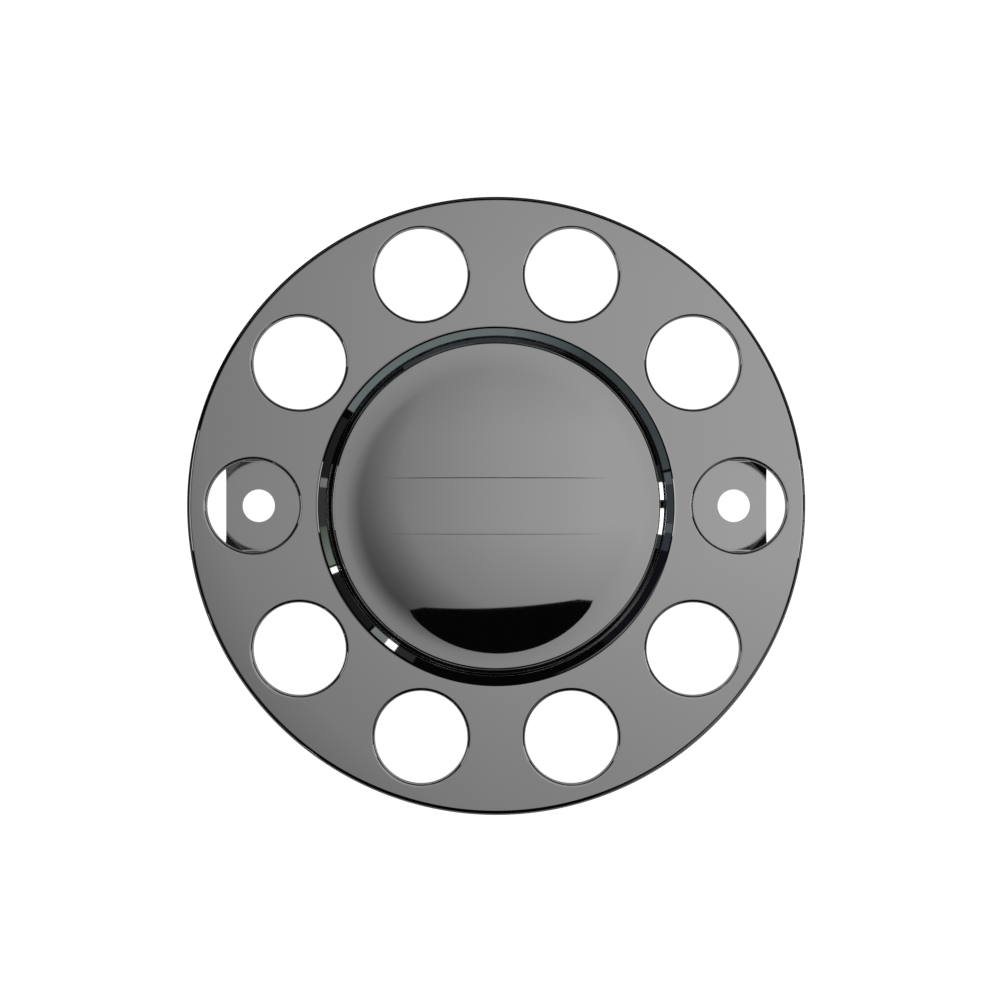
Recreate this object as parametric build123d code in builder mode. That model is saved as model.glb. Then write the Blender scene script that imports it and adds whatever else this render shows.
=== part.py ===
from build123d import *
from math import asin, cos, degrees, radians, sin, sqrt, tan
import os

# Wheel cover for a ten-stud truck wheel, in millimetres. The wheel's axis is Z, the polished face looks
# along +Z, and the cover lies on the back faces of its two fixing brackets at Z = 0.

# The wheel that the cover fits
stud_circle = 335.0           # pitch circle diameter of the wheel studs
stud_count = 10

# Pressed sheet
sheet = 1.2                   # thickness of the stainless sheet
outer_land = 7.6              # flat ring between the nut openings and the outer bend
inner_land = 9.9              # flat ring between the nut openings and the foot of the crown
outer_bend = 3.4              # radius of the outer bend, on the polished face
outer_flange = 21.0           # depth of the turned-back outer edge, from the polished face

# Nut openings
nut_opening = 63.8            # clear diameter inside the flange
opening_bend = 2.6            # radius of the opening's edge, on the polished face
opening_flange = 6.5          # depth of the flange, from the polished face

# Crown
foot_run = 7.3                # width of the sloping foot of the crown
foot_slope = 40.0             # slope of the foot, in degrees
foot_bend = 2.0               # radius of the bends above and below the foot, on the polished face
wall_draft = 9.0              # how far the wall leans inwards, in degrees
crown_height = 45.0           # from the ring's face to the corner of the shoulder
shoulder_bend = 2.0           # radius of the shoulder, on the polished face
rim_slope = 1.0               # slope of the rim where it meets the shoulder, in degrees
rim_width = 19.5              # from the corner of the shoulder to the edge of the dome
dome_radius = 330.0           # spherical radius of the dome

# Fixing brackets
strap = 3.0                   # thickness of the bracket's strap
bracket_setback = 38.0        # from the ring's face back to the bracket plate's front face
stud_hole = 23.0
plate_outboard = 22.8         # from the stud hole's centre to the plate's outer end
plate_inboard = 32.5          # from the stud hole's centre to the plate's inner end
strap_bend = 2.5              # inside radius of the strap's bends
leg_splay = 5.0               # how far a leg leans outwards, in degrees
leg_clearance = 3.0           # from the opening's flange to the leg beside its lower edge
foot_gap = 9.4                # from a bracket's foot to the flange of the next nut opening
gusset_run = 13.0             # from the plate's outer corner along both its sides
gusset_slope = 30.0           # slope of the pressed gusset, in degrees

# Places that follow from the sizes
stud_radius = stud_circle / 2
opening_radius = nut_opening / 2
opening_edge = opening_radius + opening_bend
flange_outside = opening_radius + sheet
outer_radius = stud_radius + opening_edge + outer_land + outer_bend
crown_foot = stud_radius - opening_edge - inner_land

ring_face = strap + bracket_setback
ring_back = ring_face - sheet
flange_end = ring_face - opening_flange

wall_foot_radius = crown_foot - foot_run
wall_foot_z = ring_face + foot_run * tan(radians(foot_slope))
shoulder_z = ring_face + crown_height
shoulder_radius = wall_foot_radius - (shoulder_z - wall_foot_z) * tan(radians(wall_draft))

# The dome is a spherical cap, and a hollow sweep carries its slope down to the rim's.
dome_edge = shoulder_radius - rim_width
dome_edge_slope = asin(dome_edge / dome_radius)
sweep_radius = rim_width / (sin(dome_edge_slope) - sin(radians(rim_slope)))
dome_edge_z = shoulder_z + sweep_radius * (cos(radians(rim_slope)) - cos(dome_edge_slope))
dome_top_z = dome_edge_z + dome_radius * (1 - cos(dome_edge_slope))


def corner_of(line, radius, height):
    """The vertex of a profile line that lies at the given place."""
    return line.vertices().sort_by_distance((radius, height, 0))[0]


# One flanged edge, on its own axis at the origin, ready to be set into each round hole of the ring
with BuildPart() as edging:
    with BuildSketch(Plane.XZ):
        with BuildLine():
            lip = RadiusArc(
                (opening_edge, ring_face), (opening_radius, ring_face - opening_bend), -opening_bend
            )
            Line(lip @ 1, (opening_radius, flange_end))
            offset(amount=sheet, side=Side.LEFT)
        make_face()
    revolve(axis=Axis.Z)

# The cover: one sheet, turned about the wheel's axis, with its holes cut and their edges flanged
with BuildPart() as cover:
    with BuildSketch(Plane.XZ):
        with BuildLine() as face_line:
            dome = RadiusArc((0, dome_top_z), (dome_edge, dome_edge_z), dome_radius)
            sweep = RadiusArc(dome @ 1, (shoulder_radius, shoulder_z), -sweep_radius)
            FilletPolyline(
                sweep @ 1,
                (wall_foot_radius, wall_foot_z),
                (crown_foot, ring_face),
                (outer_radius, ring_face),
                (outer_radius, ring_face - outer_flange),
                radius=[foot_bend, foot_bend, outer_bend],
            )
            fillet(corner_of(face_line, shoulder_radius, shoulder_z), radius=shoulder_bend)
            offset(amount=sheet, side=Side.RIGHT)
        make_face()
    revolve(axis=Axis.Z)

    with BuildSketch(Plane.XY.offset(ring_face)):
        with PolarLocations(stud_radius, stud_count):
            Circle(opening_edge)
    extrude(amount=2 * sheet, both=True, mode=Mode.SUBTRACT)
    with PolarLocations(stud_radius, stud_count):
        add(edging.part)

cover.part.label = "wheel_cover"

# The bracket: a strap folded like a hat, with its brim against the ring's back. The profile line is the
# side of the strap that faces the ring, and the metal lies outside it.
leg_run = tan(radians(leg_splay))
leg_at_flange_end = flange_outside + leg_clearance
plate_edge = leg_at_flange_end - (flange_end - strap) * leg_run
foot_start = leg_at_flange_end + (ring_back - flange_end) * leg_run
next_opening_y = stud_radius * sin(radians(360 / stud_count))
foot_end = next_opening_y - flange_outside - foot_gap
bracket_end = stud_radius + plate_outboard

# A gusset is pressed into each outer corner of the plate: a sloping facet that crosses from the plate to
# the leg, with the strap's thickness behind it. Metal is added down from the facet, and the dent behind it
# is cut along the same slope, one strap's thickness lower.
gusset_rise = gusset_run / sqrt(2) * tan(radians(gusset_slope))
gusset_face = Plane(
    origin=(bracket_end, plate_edge - gusset_run, strap),
    z_dir=(-1, -1, sqrt(2) / tan(radians(gusset_slope))),
)
gusset_bury = strap / 3       # how deep the added metal reaches into the bend that it stiffens
outer_corner = (Align.MAX, Align.MAX, Align.MIN)

with BuildPart() as gusset_metal:
    with Locations((bracket_end, plate_edge + gusset_bury, strap - gusset_bury)):
        Box(gusset_run, gusset_run + gusset_bury, gusset_rise + 2 * gusset_bury, align=outer_corner)
    split(bisect_by=gusset_face, keep=Keep.BOTTOM)

with BuildPart() as gusset_dent:
    with Locations((bracket_end + strap, plate_edge + gusset_run, -strap)):
        Box(2 * gusset_run, 2 * gusset_run, gusset_run, align=outer_corner)
    split(bisect_by=gusset_face.offset(-strap), keep=Keep.BOTTOM)

with BuildPart() as bracket:
    with BuildSketch(Plane.YZ.offset(stud_radius - plate_inboard)):
        with BuildLine():
            FilletPolyline(
                (-foot_end, ring_back),
                (-foot_start, ring_back),
                (-plate_edge, strap),
                (plate_edge, strap),
                (foot_start, ring_back),
                (foot_end, ring_back),
                radius=[strap_bend + strap, strap_bend, strap_bend, strap_bend + strap],
            )
            offset(amount=strap, side=Side.RIGHT)
        make_face()
    extrude(amount=plate_inboard + plate_outboard)
    with Locations((stud_radius, 0, strap)):
        Hole(radius=stud_hole / 2)
    for metal in (gusset_metal.part, gusset_metal.part.mirror(Plane.XZ)):
        add(metal)
    for dent in (gusset_dent.part, gusset_dent.part.mirror(Plane.XZ)):
        add(dent, mode=Mode.SUBTRACT)

with BuildPart() as bracket_left:
    mirror(bracket.part, about=Plane.YZ)

bracket.part.label = "bracket_right"
bracket_left.part.label = "bracket_left"

os.makedirs("parts", exist_ok=True)
export_step(cover.part, "parts/wheel_cover.step")
export_step(bracket.part, "parts/bracket_right.step")
export_step(bracket_left.part, "parts/bracket_left.step")

print(f"overall diameter {2 * outer_radius:.1f}, height {dome_top_z:.1f}")
print(f"sweep radius {sweep_radius:.1f}, dome slope at its edge {degrees(dome_edge_slope):.1f} degrees")
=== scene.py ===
"""A polished stainless wheel cover, seen square on from above as it lies face up on its fixing brackets.

The part's sizes are in millimetres and are turned to metres as each mesh is made. The studio's places are in
metres. The wheel's axis is Z.
"""

from math import asin, cos, degrees, pi, radians, sin, tan

import bmesh
import bpy
from mathutils import Matrix, Vector


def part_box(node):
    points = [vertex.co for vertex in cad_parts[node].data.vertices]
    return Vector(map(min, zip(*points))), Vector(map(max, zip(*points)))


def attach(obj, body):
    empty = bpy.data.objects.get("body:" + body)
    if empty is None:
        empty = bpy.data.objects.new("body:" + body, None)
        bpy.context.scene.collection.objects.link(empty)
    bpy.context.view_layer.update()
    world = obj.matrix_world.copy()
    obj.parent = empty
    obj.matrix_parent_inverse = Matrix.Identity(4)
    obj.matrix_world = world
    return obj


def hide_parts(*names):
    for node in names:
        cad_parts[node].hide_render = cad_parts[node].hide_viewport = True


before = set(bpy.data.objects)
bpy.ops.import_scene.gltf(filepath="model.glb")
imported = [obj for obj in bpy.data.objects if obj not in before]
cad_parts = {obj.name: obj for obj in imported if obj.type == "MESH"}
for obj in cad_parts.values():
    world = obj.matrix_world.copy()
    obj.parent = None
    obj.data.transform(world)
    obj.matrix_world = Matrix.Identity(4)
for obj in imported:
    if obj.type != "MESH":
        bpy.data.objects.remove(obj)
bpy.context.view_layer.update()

MM = 0.001
cover_low, cover_high = (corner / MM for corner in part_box("wheel_cover"))
bracket_low, bracket_high = (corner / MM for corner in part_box("bracket_right"))

# The wheel and the pressed sheet
STUD_RADIUS = 167.5
STUD_COUNT = 10
SHEET = 1.2
RING_BACK = bracket_high.z
RING_FACE = RING_BACK + SHEET
OUTER_RADIUS = cover_high.x
FLANGE_END = cover_low.z
OUTER_BEND = 3.4

# The nut openings
OPENING_RADIUS = 31.9
OPENING_BEND = 2.6
OPENING_FLANGE = 6.5          # depth of the flange, from the ring's face

# The crown. The solid's foot slopes by 40 degrees, with bends of radius 2 beside it. Here it slopes less and
# its bends are rounder, so that the lines in the polished metal are as wide as the photograph's.
CROWN_FOOT = 123.1
FOOT_RUN = 7.3
FOOT_SLOPE = 38.0
FOOT_BEND = 4.0               # where the ring turns up into the foot
WALL_BEND = 3.5               # where the foot turns up into the wall
WALL_DRAFT = 9.0
CROWN_HEIGHT = 45.0
SHOULDER_BEND = 2.0
RIM_SLOPE = 1.0
RIM_WIDTH = 19.5
DOME_RADIUS = 330.0

# The brackets
STRAP = 3.0
STRAP_BEND = 2.5              # inside radius of a fold
LEG_SPLAY = 5.0
LEG_CLEARANCE = 3.0           # from the opening's flange to the leg beside its lower edge
STUD_HOLE_RADIUS = 11.5
GUSSET_RUN = 13.0
GUSSET_SLOPE = 30.0

# How far deburring breaks the cut edges
SHEET_DEBURR = 0.12
STRAP_DEBURR = 0.25
CUT_EDGE = radians(50)        # an edge sharper than this is a cut edge

# How finely the meshes are cut
SUPPORT = 0.1                 # width of the narrow loops that keep flat metal flat beside a bend
TURNED_STEPS = 480            # round the wheel's axis
OPENING_STEPS = 80            # round a nut opening
HOLE_STEPS = 64               # round a stud hole
CREASE = radians(20)          # faces that meet at more than this stay crisp
WELD = 0.002                  # points closer than this become one
SLACK = 0.001                 # how far off a level a point may be and still be taken as on it
CUT_SLACK = 0.0001            # the same for a cutting plane


def tangent(radius, turn):
    """How far a bend of that radius and turn reaches from its corner."""
    return radius * tan(radians(abs(turn)) / 2)


class Section:
    """A pen that draws one line of folded metal in the XZ plane, as straight runs and round bends."""

    def __init__(self, radius, height, heading):
        self.bm = bmesh.new()
        start = Vector((radius, 0, height)) * MM
        self.tip = bmesh.ops.create_vert(self.bm, co=start)["vert"][0]
        self.heading = radians(heading)

    def step(self, length):
        """One straight edge."""
        new = bmesh.ops.extrude_vert_indiv(self.bm, verts=[self.tip])["verts"]
        way = Vector((cos(self.heading), 0, sin(self.heading)))
        bmesh.ops.translate(self.bm, verts=new, vec=way * length * MM)
        self.tip = new[0]

    def run(self, length):
        """A straight stretch with a narrow support loop at each end."""
        for part in (SUPPORT, length - 2 * SUPPORT, SUPPORT):
            self.step(part)

    def bend(self, radius, turn, steps):
        """A round bend: turn is in degrees, and positive turns from +X towards +Z."""
        side = 1 if turn > 0 else -1
        across = Vector((-sin(self.heading), 0, cos(self.heading)))
        last = bmesh.ops.spin(
            self.bm, geom=[self.tip], cent=self.tip.co + across * side * radius * MM,
            axis=(0, -1, 0), angle=radians(turn), steps=steps, use_merge=False,
        )["geom_last"]
        self.tip = next(item for item in last if isinstance(item, bmesh.types.BMVert))
        self.heading += radians(turn)


def turned(section, steps):
    """The section turned about Z into a surface, with its seam and its pole closed."""
    bm = section.bm
    bmesh.ops.spin(
        bm, geom=bm.verts[:] + bm.edges[:], cent=(0, 0, 0), axis=(0, 0, 1),
        angle=2 * pi, steps=steps, use_merge=True,
    )
    bmesh.ops.remove_doubles(bm, verts=bm.verts[:], dist=WELD * MM)
    return bm


def crown_surface():
    """The raised middle: sloping foot, drafted wall, round shoulder, hollow sweep and shallow dome."""
    wall_foot = CROWN_FOOT - FOOT_RUN
    foot_rise = FOOT_RUN * tan(radians(FOOT_SLOPE))
    foot_length = FOOT_RUN / cos(radians(FOOT_SLOPE))
    wall_turn = 90 - FOOT_SLOPE - WALL_DRAFT
    wall_length = (CROWN_HEIGHT - foot_rise) / cos(radians(WALL_DRAFT))
    shoulder_radius = wall_foot - (CROWN_HEIGHT - foot_rise) * tan(radians(WALL_DRAFT))

    dome_edge_slope = asin((shoulder_radius - RIM_WIDTH) / DOME_RADIUS)
    dome_turn = degrees(dome_edge_slope)
    sweep_radius = RIM_WIDTH / (sin(dome_edge_slope) - sin(radians(RIM_SLOPE)))

    # The shoulder's bend touches both the wall and the sweep, which sets the slope where it ends.
    corner = radians(RIM_SLOPE + WALL_DRAFT)
    both = sweep_radius + SHOULDER_BEND
    met = asin((sweep_radius * sin(corner) + SHOULDER_BEND) / both)
    shoulder_slope = degrees(met) - WALL_DRAFT
    wall_cut = both * cos(met) - sweep_radius * cos(corner)

    start = CROWN_FOOT + tangent(FOOT_BEND, FOOT_SLOPE) + SUPPORT
    pen = Section(start, RING_FACE, heading=180)
    pen.step(SUPPORT)
    pen.bend(FOOT_BEND, -FOOT_SLOPE, steps=8)
    pen.run(foot_length - tangent(FOOT_BEND, FOOT_SLOPE) - tangent(WALL_BEND, wall_turn))
    pen.bend(WALL_BEND, -wall_turn, steps=8)
    pen.run(wall_length - tangent(WALL_BEND, wall_turn) - wall_cut)
    pen.bend(SHOULDER_BEND, 90 - shoulder_slope - WALL_DRAFT, steps=10)
    pen.bend(sweep_radius, shoulder_slope - dome_turn, steps=8)
    pen.bend(DOME_RADIUS, dome_turn, steps=12)
    pen.tip.co.x = 0
    return turned(pen, TURNED_STEPS)


def rim_surface():
    """The outer bend and the turned-back outer flange."""
    pen = Section(OUTER_RADIUS - OUTER_BEND - SUPPORT, RING_FACE, heading=0)
    pen.step(SUPPORT)
    pen.bend(OUTER_BEND, -90, steps=12)
    pen.run(RING_FACE - OUTER_BEND - FLANGE_END)
    return turned(pen, TURNED_STEPS)


def opening_surface():
    """The rolled edge and the short flange of one nut opening, on its own axis at the origin."""
    pen = Section(OPENING_RADIUS + OPENING_BEND + SUPPORT, RING_FACE, heading=180)
    pen.step(SUPPORT)
    pen.bend(OPENING_BEND, 90, steps=10)
    pen.run(OPENING_FLANGE - OPENING_BEND)
    return turned(pen, OPENING_STEPS)


def join(bm, other, places):
    """Adds a copy of another bmesh at each place, and frees the other."""
    mesh = bpy.data.meshes.new("copy")
    other.to_mesh(mesh)
    other.free()
    for place in places:
        before = set(bm.verts)
        bm.from_mesh(mesh)
        new = [v for v in bm.verts if v not in before]
        bmesh.ops.transform(bm, matrix=place, verts=new)
    bpy.data.meshes.remove(mesh)


def thicken(bm, thickness):
    """Turns the surface to look up, adds its back at that distance, and gives the faces of its front."""
    bmesh.ops.recalc_face_normals(bm, faces=bm.faces[:])
    widest = max(bm.faces, key=lambda f: f.calc_area())
    if widest.normal.z < 0:
        bmesh.ops.reverse_faces(bm, faces=bm.faces[:])
    # Solidify reads the points' normals, which the steps before it leave out of date.
    bm.normal_update()
    front = set(bm.faces)
    bmesh.ops.solidify(bm, geom=bm.faces[:], thickness=thickness * MM)
    return front


def piece(name, bm, materials):
    """A finished mesh object that rides with the part."""
    for face in bm.faces:
        face.smooth = True
    for edge in bm.edges:
        edge.smooth = edge.smooth and edge.calc_face_angle(0.0) < CREASE
    mesh = bpy.data.meshes.new(name)
    bm.to_mesh(mesh)
    bm.free()
    for material in materials:
        mesh.materials.append(material)
    obj = bpy.data.objects.new(name, mesh)
    bpy.context.scene.collection.objects.link(obj)
    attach(obj, "root")
    return obj


def soften_cut_edges(obj, width):
    """Breaks the cut edges of the metal, as deburring does, and keeps the flat faces flat."""
    bevel = obj.modifiers.new("deburred", "BEVEL")
    bevel.width = width * MM
    bevel.segments = 2
    bevel.limit_method = "ANGLE"
    bevel.angle_limit = CUT_EDGE
    bevel.harden_normals = True


def linear(hex_colour):
    """An sRGB hex colour as linear RGBA."""
    parts = [int(hex_colour[i:i + 2], 16) / 255 for i in (1, 3, 5)]
    return [p / 12.92 if p <= 0.04045 else ((p + 0.055) / 1.055) ** 2.4 for p in parts] + [1.0]


def add(tree, kind, inputs=None, **settings):
    """One node with its settings and inputs. An input is a value, or the socket that feeds it."""
    node = tree.nodes.new(kind)
    for name, value in settings.items():
        setattr(node, name, value)
    for name, value in (inputs or {}).items():
        if isinstance(value, bpy.types.NodeSocket):
            tree.links.new(value, node.inputs[name])
        else:
            node.inputs[name].default_value = value
    return node


def ramp(tree, value, start, end, low, high):
    """A value carried from one range to another, and held level past the range's ends."""
    return add(tree, "ShaderNodeMapRange", {
        "Value": value, "From Min": start, "From Max": end, "To Min": low, "To Max": high,
    }).outputs["Result"]


def combined(tree, operation, *values):
    """The values run together by one Math operation, such as their product."""
    result = values[0]
    for value in values[1:]:
        result = add(tree, "ShaderNodeMath", {0: result, 1: value}, operation=operation).outputs[0]
    return result


def new_material(name):
    """An empty node material, and its tree."""
    material = bpy.data.materials.new(name)
    material.use_nodes = True
    material.node_tree.nodes.clear()
    return material, material.node_tree


def mirror_stainless(name, colour, roughness, wave):
    """Stainless sheet buffed to a mirror: near-colourless, with faint buffing haze and a slow waviness.

    The haze lies in patches about 45 mm wide, and the waves, wave millimetres deep, are about 70 mm apart.
    """
    material, tree = new_material(name)
    place = add(tree, "ShaderNodeTexCoord").outputs["Object"]
    haze = add(tree, "ShaderNodeTexNoise", {"Vector": place, "Scale": 1 / (45 * MM), "Detail": 3.0})
    rough = ramp(tree, haze.outputs["Fac"], 0.35, 0.65, roughness * 0.85, roughness * 1.2)
    swell = add(tree, "ShaderNodeTexNoise", {"Vector": place, "Scale": 1 / (70 * MM), "Detail": 1.0})
    bump = add(tree, "ShaderNodeBump", {
        "Height": swell.outputs["Fac"], "Distance": wave * MM, "Strength": 1.0})
    metal = add(tree, "ShaderNodeBsdfPrincipled", {
        "Base Color": linear(colour), "Metallic": 1.0, "Roughness": rough,
        "Normal": bump.outputs["Normal"]})
    add(tree, "ShaderNodeOutputMaterial", {"Surface": metal.outputs["BSDF"]})
    return material


def mill_stainless(name, colour, roughness):
    """The unpolished back of the sheet: a dull mill finish with rolling lines along X.

    The lines are about 1.2 mm apart, which is coarser than real ones, so that they show.
    """
    material, tree = new_material(name)
    place = add(tree, "ShaderNodeTexCoord").outputs["Object"]
    along = add(tree, "ShaderNodeMapping", {"Vector": place, "Scale": (0.02, 1.0, 1.0)})
    lines = add(tree, "ShaderNodeTexNoise", {
        "Vector": along.outputs["Vector"], "Scale": 1 / (1.2 * MM), "Detail": 4.0})
    rough = ramp(tree, lines.outputs["Fac"], 0.3, 0.7, roughness * 0.8, roughness * 1.25)
    bump = add(tree, "ShaderNodeBump", {
        "Height": lines.outputs["Fac"], "Distance": 0.004 * MM, "Strength": 1.0})
    metal = add(tree, "ShaderNodeBsdfPrincipled", {
        "Base Color": linear(colour), "Metallic": 1.0, "Roughness": rough,
        "Normal": bump.outputs["Normal"]})
    add(tree, "ShaderNodeOutputMaterial", {"Surface": metal.outputs["BSDF"]})
    return material


def wheel_cover():
    """The pressed sheet: crown, rim and flanged openings, with the flat ring filled in between them."""
    bm = crown_surface()
    join(bm, rim_surface(), [Matrix.Identity(4)])
    places = [
        Matrix.Rotation(2 * pi * n / STUD_COUNT, 4, "Z") @ Matrix.Translation((STUD_RADIUS * MM, 0, 0))
        for n in range(STUD_COUNT)
    ]
    join(bm, opening_surface(), places)
    level = (RING_FACE - SLACK) * MM
    open_loops = [e for e in bm.edges if e.is_boundary and min(v.co.z for v in e.verts) > level]
    bmesh.ops.triangle_fill(bm, use_beauty=True, edges=open_loops)
    front = thicken(bm, SHEET)
    for face in bm.faces:
        face.material_index = 0 if face in front else 1
    cover = piece("wheel_cover_sheet", bm, [
        mirror_stainless("mirror_polished_stainless", "#D6D6D6", roughness=0.035, wave=0.010),
        mill_stainless("mill_finish_stainless", "#B6B6B4", roughness=0.30),
    ])
    soften_cut_edges(cover, SHEET_DEBURR)
    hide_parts("wheel_cover")


def strap_sides(plate_flat, foot_start):
    """The upper face of a strap on both sides of its plate: the fold, the splayed leg and the foot."""
    turn = 90 - LEG_SPLAY
    leg = (RING_BACK - STRAP) / cos(radians(LEG_SPLAY))
    foot = bracket_high.y - foot_start
    pen = Section(plate_flat, STRAP, heading=0)
    pen.step(SUPPORT)
    pen.bend(STRAP_BEND, turn, steps=10)
    pen.run(leg - tangent(STRAP_BEND, turn) - tangent(STRAP_BEND + STRAP, turn))
    pen.bend(STRAP_BEND + STRAP, -turn, steps=10)
    pen.run(foot - tangent(STRAP_BEND + STRAP, turn))
    bm = pen.bm
    bmesh.ops.mirror(bm, geom=bm.verts[:] + bm.edges[:], axis="X", merge_dist=0)
    bmesh.ops.rotate(bm, verts=bm.verts[:], matrix=Matrix.Rotation(pi / 2, 3, "Z"))
    bmesh.ops.translate(bm, verts=bm.verts[:], vec=(bracket_low.x * MM, 0, 0))
    swept = bmesh.ops.extrude_edge_only(bm, edges=bm.edges[:])["geom"]
    width = bracket_high.x - bracket_low.x
    far_end = [v for v in swept if isinstance(v, bmesh.types.BMVert)]
    bmesh.ops.translate(bm, verts=far_end, vec=(width * MM, 0, 0))
    return bm


def fill_plate(bm, plate_flat):
    """The plate between the two folded sides, round its stud hole."""
    inner = (plate_flat + SLACK) * MM
    sides = [e for e in bm.edges if e.is_boundary and max(abs(v.co.y) for v in e.verts) < inner]
    corners = sorted({v for e in sides for v in e.verts}, key=lambda v: (v.co.x, v.co.y))
    ends = [bm.edges.new(corners[:2]), bm.edges.new(corners[2:])]
    hole = bmesh.ops.create_circle(
        bm, cap_ends=False, radius=STUD_HOLE_RADIUS * MM, segments=HOLE_STEPS,
        matrix=Matrix.Translation((STUD_RADIUS * MM, 0, STRAP * MM)),
    )["verts"]
    rim = {e for v in hole for e in v.link_edges}
    bmesh.ops.triangle_fill(bm, use_beauty=True, edges=sides + ends + list(rim))
    bmesh.ops.remove_doubles(bm, verts=bm.verts[:], dist=WELD * MM)


def press_gusset(bm, plate_edge, corner_side):
    """Swaps the strap's outer corner for a sloping facet that crosses from the plate to the leg."""
    start = Vector((bracket_high.x, corner_side * (plate_edge - GUSSET_RUN), STRAP)) * MM
    away = Vector((-1, -corner_side, 2 ** 0.5 / tan(radians(GUSSET_SLOPE)))).normalized()
    cut = bmesh.ops.bisect_plane(
        bm, geom=bm.verts[:] + bm.edges[:] + bm.faces[:], dist=CUT_SLACK * MM,
        plane_co=start, plane_no=away, clear_inner=True,
    )["geom_cut"]
    crease = [e for e in cut if isinstance(e, bmesh.types.BMEdge)]
    points = {v for e in crease for v in e.verts}
    ends = [v for v in points if sum(e in crease for e in v.link_edges) == 1]
    closing = bm.edges.new(ends)
    # One flat face, because the crease has points in line that would make triangles without an area.
    bmesh.ops.edgeloop_fill(bm, edges=crease + [closing])
    for edge in crease:
        edge.smooth = False


def bracket(name, side):
    """A strap folded like a hat, with a plate, two legs and two feet. side is 1 on +X and -1 on -X."""
    flange_end = RING_FACE - OPENING_FLANGE
    lean = tan(radians(LEG_SPLAY))
    leg_at_flange = OPENING_RADIUS + SHEET + LEG_CLEARANCE
    plate_edge = leg_at_flange - (flange_end - STRAP) * lean
    foot_start = leg_at_flange + (RING_BACK - flange_end) * lean
    plate_flat = plate_edge - tangent(STRAP_BEND, 90 - LEG_SPLAY) - SUPPORT

    bm = strap_sides(plate_flat, foot_start)
    fill_plate(bm, plate_flat)
    for corner_side in (1, -1):
        press_gusset(bm, plate_edge, corner_side)
    if side < 0:
        bmesh.ops.scale(bm, verts=bm.verts[:], vec=(-1, 1, 1))
    thicken(bm, STRAP)
    # The back of a sloping gusset reaches past the strap's end, so it is brought back to it.
    for v in bm.verts:
        v.co.x = side * min(abs(v.co.x), bracket_high.x * MM)
    strap = piece(name + "_strap", bm, [
        mirror_stainless("bright_rolled_stainless", "#DCDCDC", roughness=0.08, wave=0.012),
    ])
    soften_cut_edges(strap, STRAP_DEBURR)
    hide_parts(name)


# The studio. Places are in metres from the wheel's axis and above the floor, and directions are in degrees
# from +X towards +Y. Each slope of the polished metal mirrors its own part of it.
ALL_BUT_MIRRORS = ("camera", "diffuse", "shadow")

FLOOR_REACH = 12.0
FLOOR_GLOW = 0.95             # how near to white the floor glows for the camera
WORLD_LIGHT = 0.35            # how much of the white background falls on things as light

# The card over the cover, whose glow is painted light. Each tone goes from one place to another, and from
# one level to another.
CARD_HEIGHT = 0.541
CARD_CORNERS = ((-0.44, -0.312), (0.55, -0.260), (0.55, 0.50), (-0.44, 0.50))
CARD_MIDDLE = (0.15, 0.10)    # the tone falls off with the distance from here
CARD_FALL_OFF = (0.42, 0.58, 1.0, 0.35)
CARD_ACROSS = ((-0.28, 0.0, 0.70, 1.0), (0.0, 0.28, 1.0, 1.20))
CARD_ALONG = ((-0.28, -0.05, 0.74, 1.0), (0.20, 0.48, 1.02, 0.82))

# The rods under the card: place along Y, how far the ends bow out, reach to each side, thickness
ROD_HEIGHT = 0.15
RODS = ((0.0249, 0.0016, 0.107, 0.0007), (-0.0249, -0.0016, 0.104, 0.0004))

# The room, and how high on its wall each lit band runs
ROOM_RADIUS = 1.8
ROOM_HEIGHT = 1.5
DARK_RADIUS = ROOM_RADIUS + 0.1
SCREEN_RADIUS = 1.2
FOOT_BAND = (0.31, 0.39)      # what the foot of the crown mirrors
TALL_FOOT_BAND = (0.25, 0.39)
PLINTH = (0.02, 0.07)         # what the crown's wall mirrors, by way of the foot
SCREEN = (0.28, 1.0)
LAMP_LEVEL = 1.6              # where 1 is white
WINDOW_LEVEL = 2.5

# The mats, a hair above the floor, which only the metal mirrors: painted light and shade of the ground. The
# dark one's tone grows towards -Y, towards +X and away from the axis, so that its painted shade is deepest
# beside the cover.
MAT_HEIGHT = 0.0003
MAT_EDGE = 0.207              # radius of the pale mat, a grey glow painted in under the cover, and of the hole in the dark mat of painted shade
GROUND_SHADE_ALONG = (0.05, -0.22, 0.02, 0.24)
GROUND_SHADE_ACROSS = (0.05, 0.25, 0.0, 0.09)
GROUND_SHADE_OUTWARDS = (0.23, 0.38, 0.15, 1.0)


def stage_mesh(name, bm, material, hidden_from=()):
    """An object of the studio, hidden from the kinds of ray that are named, such as the camera's."""
    mesh = bpy.data.meshes.new(name)
    bm.to_mesh(mesh)
    bm.free()
    mesh.materials.append(material)
    obj = bpy.data.objects.new(name, mesh)
    bpy.context.scene.collection.objects.link(obj)
    for ray in hidden_from:
        setattr(obj, "visible_" + ray, False)


def seen_as_background(tree):
    """1 for what the camera, polished metal and glass see, and 0 for the light that falls on things."""
    path = add(tree, "ShaderNodeLightPath")
    return combined(
        tree, "MAXIMUM", path.outputs["Is Camera Ray"], path.outputs["Is Glossy Ray"],
        path.outputs["Is Transmission Ray"])


def white_floor():
    """A matt white floor that shows nearly white, and keeps a faint shadow."""
    material, tree = new_material("matt_white_floor")
    paint = add(tree, "ShaderNodeBsdfDiffuse", {"Color": linear("#C8C8C8")})
    share = combined(tree, "MULTIPLY", seen_as_background(tree), FLOOR_GLOW)
    glow = add(tree, "ShaderNodeEmission", {"Color": linear("#FFFFFF"), "Strength": share})
    both = add(tree, "ShaderNodeAddShader", {0: paint.outputs[0], 1: glow.outputs[0]})
    add(tree, "ShaderNodeOutputMaterial", {"Surface": both.outputs[0]})
    bm = bmesh.new()
    bmesh.ops.create_grid(bm, x_segments=1, y_segments=1, size=FLOOR_REACH)
    stage_mesh("floor", bm, material)


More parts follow.
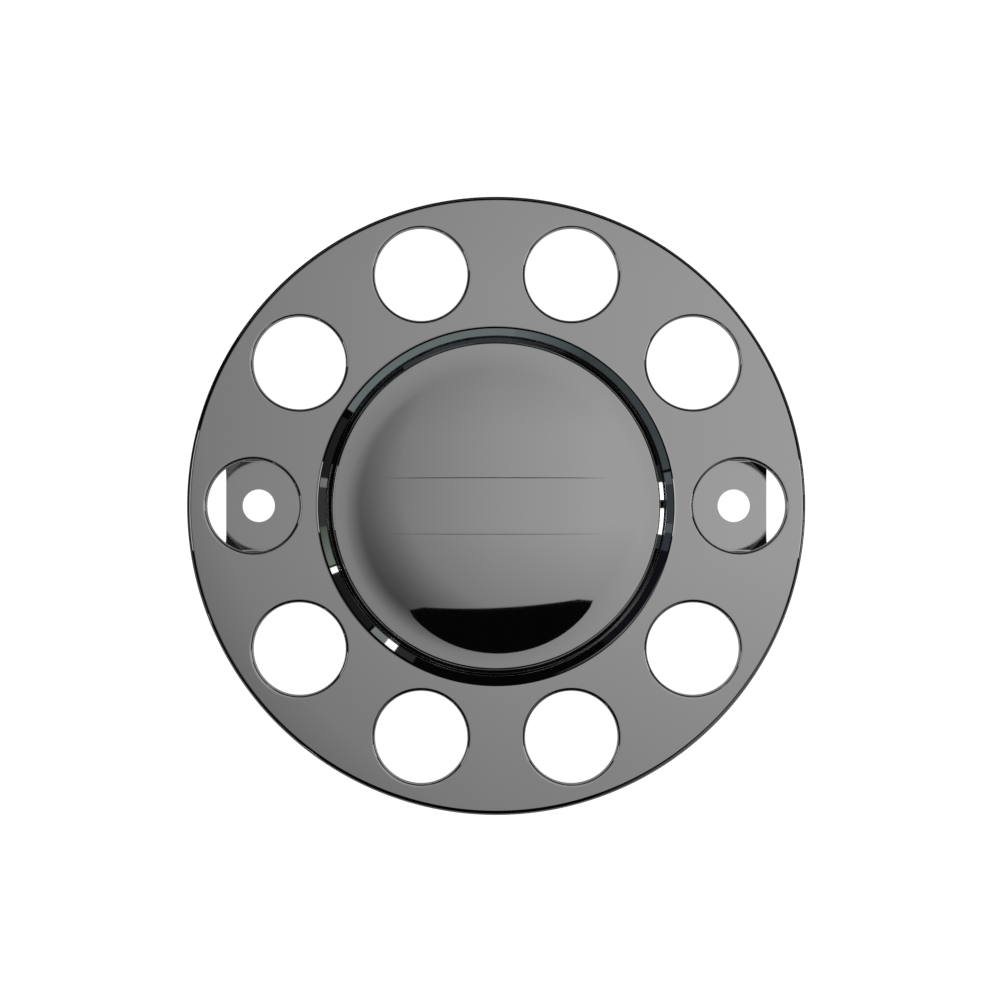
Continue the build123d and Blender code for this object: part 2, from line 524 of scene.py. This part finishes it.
def light_card():
    """The grey card over the cover, which the flat metal mirrors. Its glow is painted light: brighter to the
    right, dimmer towards its near and far edges, and falling off far from its middle.
    """
    material, tree = new_material("card_painted_light")
    spot = add(tree, "ShaderNodeTexCoord").outputs["Object"]
    place = add(tree, "ShaderNodeSeparateXYZ", {0: spot})
    far_off = add(
        tree, "ShaderNodeVectorMath", {0: spot, 1: (*CARD_MIDDLE, CARD_HEIGHT)}, operation="DISTANCE")
    tones = [ramp(tree, place.outputs["X"], *tone) for tone in CARD_ACROSS]
    tones += [ramp(tree, place.outputs["Y"], *tone) for tone in CARD_ALONG]
    tones += [ramp(tree, far_off.outputs["Value"], *CARD_FALL_OFF)]
    level = combined(tree, "MULTIPLY", *tones)
    # painted light: the card glows at the level these tones give, and no lamp lights it
    glow = add(tree, "ShaderNodeEmission", {"Color": linear("#A8A8A8"), "Strength": level})
    add(tree, "ShaderNodeOutputMaterial", {"Surface": glow.outputs[0]})
    bm = bmesh.new()
    bm.faces.new([bm.verts.new((*corner, CARD_HEIGHT)) for corner in CARD_CORNERS])
    stage_mesh("light_card", bm, material, hidden_from=("camera",))


def plain_glow(name, colour, strength=1.0):
    """A surface of one even tone."""
    material, tree = new_material(name)
    glow = add(tree, "ShaderNodeEmission", {"Color": linear(colour), "Strength": strength})
    add(tree, "ShaderNodeOutputMaterial", {"Surface": glow.outputs[0]})
    return material


def card_rods():
    """Two thin bowed rods under the card, which the dome mirrors as faint straight lines."""
    material = plain_glow("dark_rod", "#101010")
    for along, bow, reach, thickness in RODS:
        bm = bmesh.new()
        bmesh.ops.create_grid(bm, x_segments=16, y_segments=1, size=1.0)
        for v in bm.verts:
            taper = 1 - v.co.x ** 4
            y = along + bow * v.co.x ** 2 + thickness / 2 * taper * v.co.y
            v.co = (reach * v.co.x, y, ROD_HEIGHT)
        stage_mesh("card_rod", bm, material, hidden_from=("camera", "shadow"))


def upright(name, across, along, heights, strength):
    """A white panel that stands at one side of the cover, facing it."""
    near, far = along
    low, high = heights
    corners = ((near, low), (far, low), (far, high), (near, high))
    bm = bmesh.new()
    bm.faces.new([bm.verts.new((across, *corner)) for corner in corners])
    stage_mesh(name, bm, plain_glow(name, "#FFFFFF", strength), hidden_from=("camera", "diffuse"))


def stretch_of_wall(bm, start, end, tones, heights=FOOT_BAND, level=1.0, radius=ROOM_RADIUS):
    """A stretch of wall between two directions, which goes from its first tone to its last."""
    tone = bm.verts.layers.float_color["tone"]
    first, last = linear(tones[0]), linear(tones[-1])
    steps = max(1, round((end - start) / 2))
    before = None
    for n in range(steps + 1):
        share = n / steps
        turn = radians(start + share * (end - start))
        edge = [bm.verts.new((radius * cos(turn), radius * sin(turn), z)) for z in heights]
        for v in edge:
            v[tone] = [level * ((1 - share) * a + share * b) for a, b in zip(first, last)]
        if before:
            bm.faces.new((*before, *reversed(edge)))
        before = edge


def room_wall():
    """The lit parts of the room's wall: two low bands for the crown's foot and wall, and a soft screen."""
    bm = bmesh.new()
    bm.verts.layers.float_color.new("tone")
    # the far side
    stretch_of_wall(bm, 84, 147, ["#768080"], heights=TALL_FOOT_BAND)
    stretch_of_wall(bm, 60, 84, ["#454D50", "#70797C"], heights=TALL_FOOT_BAND)
    stretch_of_wall(bm, 12, 60, ["#4A5253", "#424849"])
    # a doorway on the right, between its posts
    stretch_of_wall(bm, -6, 7, ["#3E4649"])
    stretch_of_wall(bm, 7, 11, ["#5C6568"])
    stretch_of_wall(bm, -9, -6, ["#5C6568"])
    stretch_of_wall(bm, -15, -9, ["#393F47"])
    # the left side, with a post and two small lamps
    stretch_of_wall(bm, 150, 171, ["#252525"])
    stretch_of_wall(bm, 171, 174, ["#8A8A8A"])
    stretch_of_wall(bm, 174, 187, ["#3C3F3D"])
    stretch_of_wall(bm, 187, 200, ["#5A635B", "#838B83"])
    stretch_of_wall(bm, 200.7, 202.7, ["#FFFFFF"], level=LAMP_LEVEL)
    stretch_of_wall(bm, 203, 224, ["#202020"])
    stretch_of_wall(bm, 225, 231, ["#8C9191"])
    stretch_of_wall(bm, 231, 235, ["#FFFFFF"], level=LAMP_LEVEL)
    stretch_of_wall(bm, 235, 242, ["#303234"])
    # the dark near side
    stretch_of_wall(bm, 308, 345, ["#15161A"])
    # the plinth, with low windows in the doorway
    stretch_of_wall(bm, 66, 84, ["#101214", "#3C4246"], heights=PLINTH)
    stretch_of_wall(bm, 84, 124, ["#41464A"], heights=PLINTH)
    stretch_of_wall(bm, 124, 146, ["#141717"], heights=PLINTH)
    stretch_of_wall(bm, 2, 8, ["#FFFFFF"], heights=PLINTH, level=WINDOW_LEVEL)
    stretch_of_wall(bm, -10, -1, ["#FFFFFF"], heights=PLINTH, level=WINDOW_LEVEL)
    stretch_of_wall(bm, -15, -10, ["#3A4045"], heights=PLINTH)
    stretch_of_wall(bm, 8, 14, ["#2C3033"], heights=PLINTH)
    stretch_of_wall(bm, 318, 340, ["#191C1B"], heights=PLINTH)
    # a tall soft screen, which lights the metal for the views from behind
    stretch_of_wall(bm, 288, 315, ["#0A0A0A", "#787878"], heights=SCREEN, radius=SCREEN_RADIUS)
    stretch_of_wall(bm, 315, 342, ["#787878", "#0A0A0A"], heights=SCREEN, radius=SCREEN_RADIUS)

    material, tree = new_material("room_wall")
    tone = add(tree, "ShaderNodeAttribute", attribute_name="tone")
    glow = add(tree, "ShaderNodeEmission", {"Color": tone.outputs["Color"]})
    add(tree, "ShaderNodeOutputMaterial", {"Surface": glow.outputs[0]})
    stage_mesh("room_wall", bm, material, hidden_from=ALL_BUT_MIRRORS)


def dark_room():
    """The unlit rest of the room, over the cover and all round it."""
    bm = bmesh.new()
    bmesh.ops.create_uvsphere(bm, u_segments=48, v_segments=24, radius=DARK_RADIUS)
    bmesh.ops.scale(bm, verts=bm.verts[:], vec=(1, 1, ROOM_HEIGHT / DARK_RADIUS))
    bmesh.ops.bisect_plane(
        bm, geom=bm.verts[:] + bm.edges[:] + bm.faces[:], plane_co=(0, 0, MAT_HEIGHT), plane_no=(0, 0, 1),
        clear_inner=True)
    stage_mesh("dark_room", bm, plain_glow("dark_room", "#070707"), hidden_from=ALL_BUT_MIRRORS)


def mat(name, inner, outer, material):
    """A flat ring on the ground, round the wheel's axis."""
    bm = bmesh.new()
    line = [bm.verts.new((radius, 0, MAT_HEIGHT)) for radius in (inner, outer)]
    bmesh.ops.spin(
        bm, geom=[*line, bm.edges.new(line)], cent=(0, 0, 0), axis=(0, 0, 1),
        angle=2 * pi, steps=96, use_merge=True)
    bmesh.ops.remove_doubles(bm, verts=bm.verts[:], dist=WELD * MM)
    stage_mesh(name, bm, material, hidden_from=ALL_BUT_MIRRORS)


def ground():
    """What the metal mirrors of the ground, as painted light and shade: a grey glow under the cover, painted
    shade round it that is deepest beside the cover, and lighter further off.
    """
    material, tree = new_material("painted_ground_shade")
    spot = add(tree, "ShaderNodeTexCoord").outputs["Object"]
    place = add(tree, "ShaderNodeSeparateXYZ", {0: spot})
    off = add(tree, "ShaderNodeVectorMath", {0: spot}, operation="LENGTH")
    # painted shade of the ground: lighter towards -Y and +X, and darker beside the cover
    near = ramp(tree, place.outputs["Y"], *GROUND_SHADE_ALONG)
    right = ramp(tree, place.outputs["X"], *GROUND_SHADE_ACROSS)
    both = combined(tree, "ADD", near, right)
    level = combined(tree, "MULTIPLY", both, ramp(tree, off.outputs["Value"], *GROUND_SHADE_OUTWARDS))
    glow = add(tree, "ShaderNodeEmission", {"Color": linear("#FFFFFF"), "Strength": level})
    add(tree, "ShaderNodeOutputMaterial", {"Surface": glow.outputs[0]})
    # a grey glow painted in under the cover, and painted shade round it, both seen only by the metal
    mat("painted_glow_under_cover", 0.0, MAT_EDGE, plain_glow("painted_glow_under_cover", "#959595"))
    mat("painted_ground_shade", MAT_EDGE, DARK_RADIUS, material)


def white_world():
    """A world that shows white, and lights things at a plain level."""
    world = bpy.data.worlds.new("white_studio")
    world.use_nodes = True
    tree = world.node_tree
    tree.nodes.clear()
    level = ramp(tree, seen_as_background(tree), 0.0, 1.0, WORLD_LIGHT, 1.0)
    white = add(tree, "ShaderNodeBackground", {"Color": linear("#FFFFFF"), "Strength": level})
    add(tree, "ShaderNodeOutputWorld", {"Surface": white.outputs[0]})
    bpy.context.scene.world = world


# The camera stands as the photograph's did: square on, its distance set by how far the bracket plates
# shrink behind the ring.
CAMERA_DISTANCE = 1528.0      # from the ring's face, in millimetres
CAMERA_SHIFT = (2.63, 4.06)   # from the wheel's axis, in millimetres
LENS = 80.0                   # on a 36 mm sensor


def camera():
    """The camera, looking straight down."""
    lens = bpy.data.cameras.new("camera")
    lens.lens = LENS
    lens.clip_end = 100
    obj = bpy.data.objects.new("camera", lens)
    obj.location = Vector((*CAMERA_SHIFT, RING_FACE + CAMERA_DISTANCE)) * MM
    bpy.context.scene.collection.objects.link(obj)
    bpy.context.scene.camera = obj


wheel_cover()
bracket("bracket_right", 1)
bracket("bracket_left", -1)
white_floor()
light_card()
card_rods()
upright("left_panel", across=-0.80, along=(-0.12, 0.20), heights=(0.45, 0.90), strength=0.6)
upright("right_panel", across=0.80, along=(-0.14, 0.12), heights=(0.50, 0.95), strength=0.8)
room_wall()
dark_room()
ground()
white_world()
camera()
bpy.context.scene.view_settings.view_transform = "Standard"
